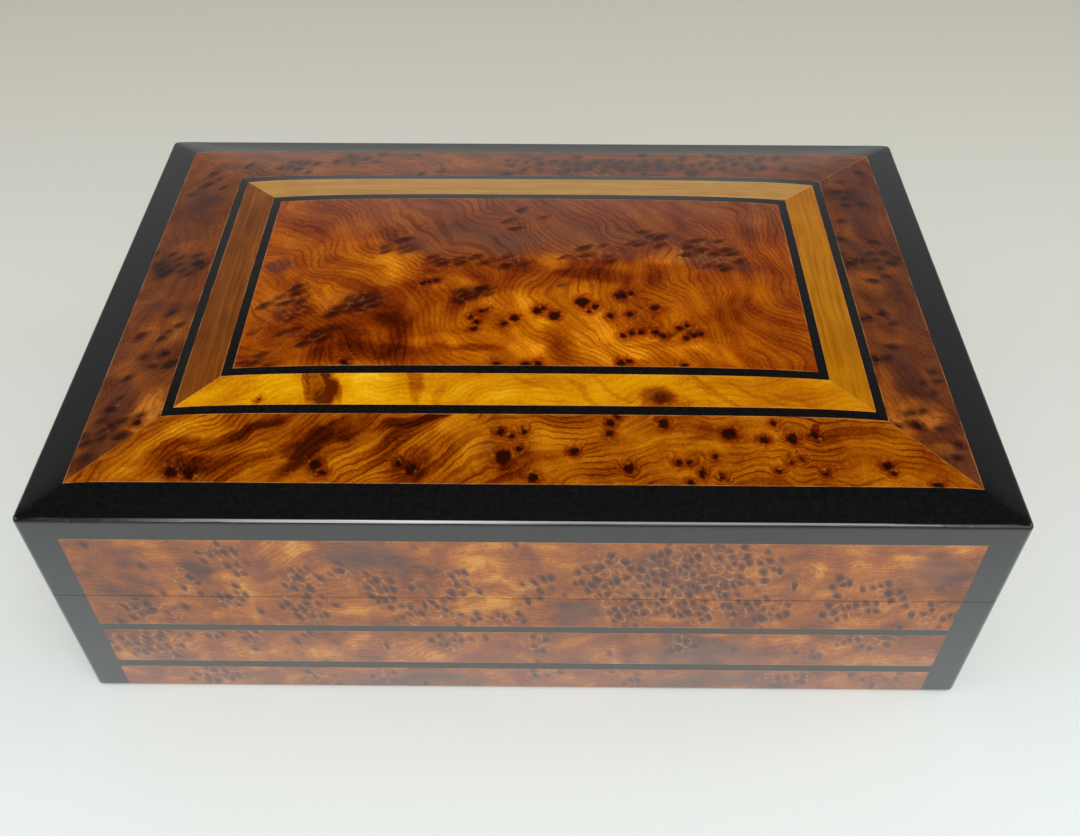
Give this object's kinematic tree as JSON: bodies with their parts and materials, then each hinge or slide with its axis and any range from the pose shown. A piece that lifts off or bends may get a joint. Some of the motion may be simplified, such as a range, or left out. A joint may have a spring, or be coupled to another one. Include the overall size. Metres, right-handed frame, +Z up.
{
  "type": "hinged keepsake box",
  "caption": "Rectangular keepsake box with a crowned lift-up lid, burl marquetry panels, black edges and inlaid lines, and brass butt hinges at the back.",
  "frame": {"origin": "centre of the underside, on the surface that the box stands on", "axes": "+X to the right along the long side, +Y to the back where the hinges are, +Z up"},
  "size_m": [0.3, 0.204, 0.1045],
  "materials": {
    "black_inlay": "gloss lacquer",
    "black_lacquer": "gloss lacquer",
    "border_back": "gloss lacquer",
    "border_front": "gloss lacquer",
    "border_left": "gloss lacquer",
    "border_right": "gloss lacquer",
    "brass": "polished",
    "burl_back": "gloss lacquer",
    "burl_front": "gloss lacquer",
    "burl_left": "gloss lacquer",
    "burl_right": "gloss lacquer",
    "centre_burl": "gloss lacquer",
    "core_wood": "satin",
    "felt": "matte",
    "liner_wood": "satin",
    "pale_back": "gloss lacquer",
    "pale_front": "gloss lacquer",
    "pale_left": "gloss lacquer",
    "pale_right": "gloss lacquer",
    "screw_brass": "polished"
  },
  "bodies": {
    "box": {"back_lower_veneer": "burl_back", "back_middle_veneer": "burl_back", "back_upper_veneer": "burl_back", "base_felt": "felt", "body_back_wall": "core_wood", "body_corner_posts": "black_lacquer", "body_front_wall": "core_wood", "body_hinge_screws": "screw_brass", "body_leaf_left": "brass", "body_leaf_right": "brass", "body_left_wall": "core_wood", "body_right_wall": "core_wood", "bottom_board": "core_wood", "floor_felt": "felt", "front_lower_veneer": "burl_front", "front_middle_veneer": "burl_front", "front_upper_veneer": "burl_front", "hinge_pins": "brass", "left_lower_veneer": "burl_left", "left_middle_veneer": "burl_left", "left_upper_veneer": "burl_left", "liner_back": "liner_wood", "liner_front": "liner_wood", "liner_left": "liner_wood", "liner_right": "liner_wood", "lower_stringing": "black_inlay", "right_lower_veneer": "burl_right", "right_middle_veneer": "burl_right", "right_upper_veneer": "burl_right", "upper_stringing": "black_inlay"},
    "lid": {"lid_board": "core_wood", "lid_felt": "felt", "lid_corner_posts": "black_lacquer", "outer_stringing": "black_inlay", "inner_stringing": "black_inlay", "centre_panel": "centre_burl", "lid_leaf_left": "brass", "lid_leaf_right": "brass", "lid_hinge_screws": "screw_brass", "lid_front_wall": "core_wood", "lid_front_veneer": "burl_front", "edging_front": "black_lacquer", "burl_border_front": "border_front", "pale_frame_front": "pale_front", "lid_back_wall": "core_wood", "lid_back_veneer": "burl_back", "edging_back": "black_lacquer", "burl_border_back": "border_back", "pale_frame_back": "pale_back", "lid_left_wall": "core_wood", "lid_left_veneer": "burl_left", "edging_left": "black_lacquer", "burl_border_left": "border_left", "pale_frame_left": "pale_left", "lid_right_wall": "core_wood", "lid_right_veneer": "burl_right", "edging_right": "black_lacquer", "burl_border_right": "border_right", "pale_frame_right": "pale_right"}
  },
  "joints": [
    {"name": "lid_hinge", "type": "hinge", "parent": "box", "child": "lid", "pos_m": [0, 0.099, 0.05412], "axis": [-1, 0, 0], "range_deg": [0, 98]}
  ]
}
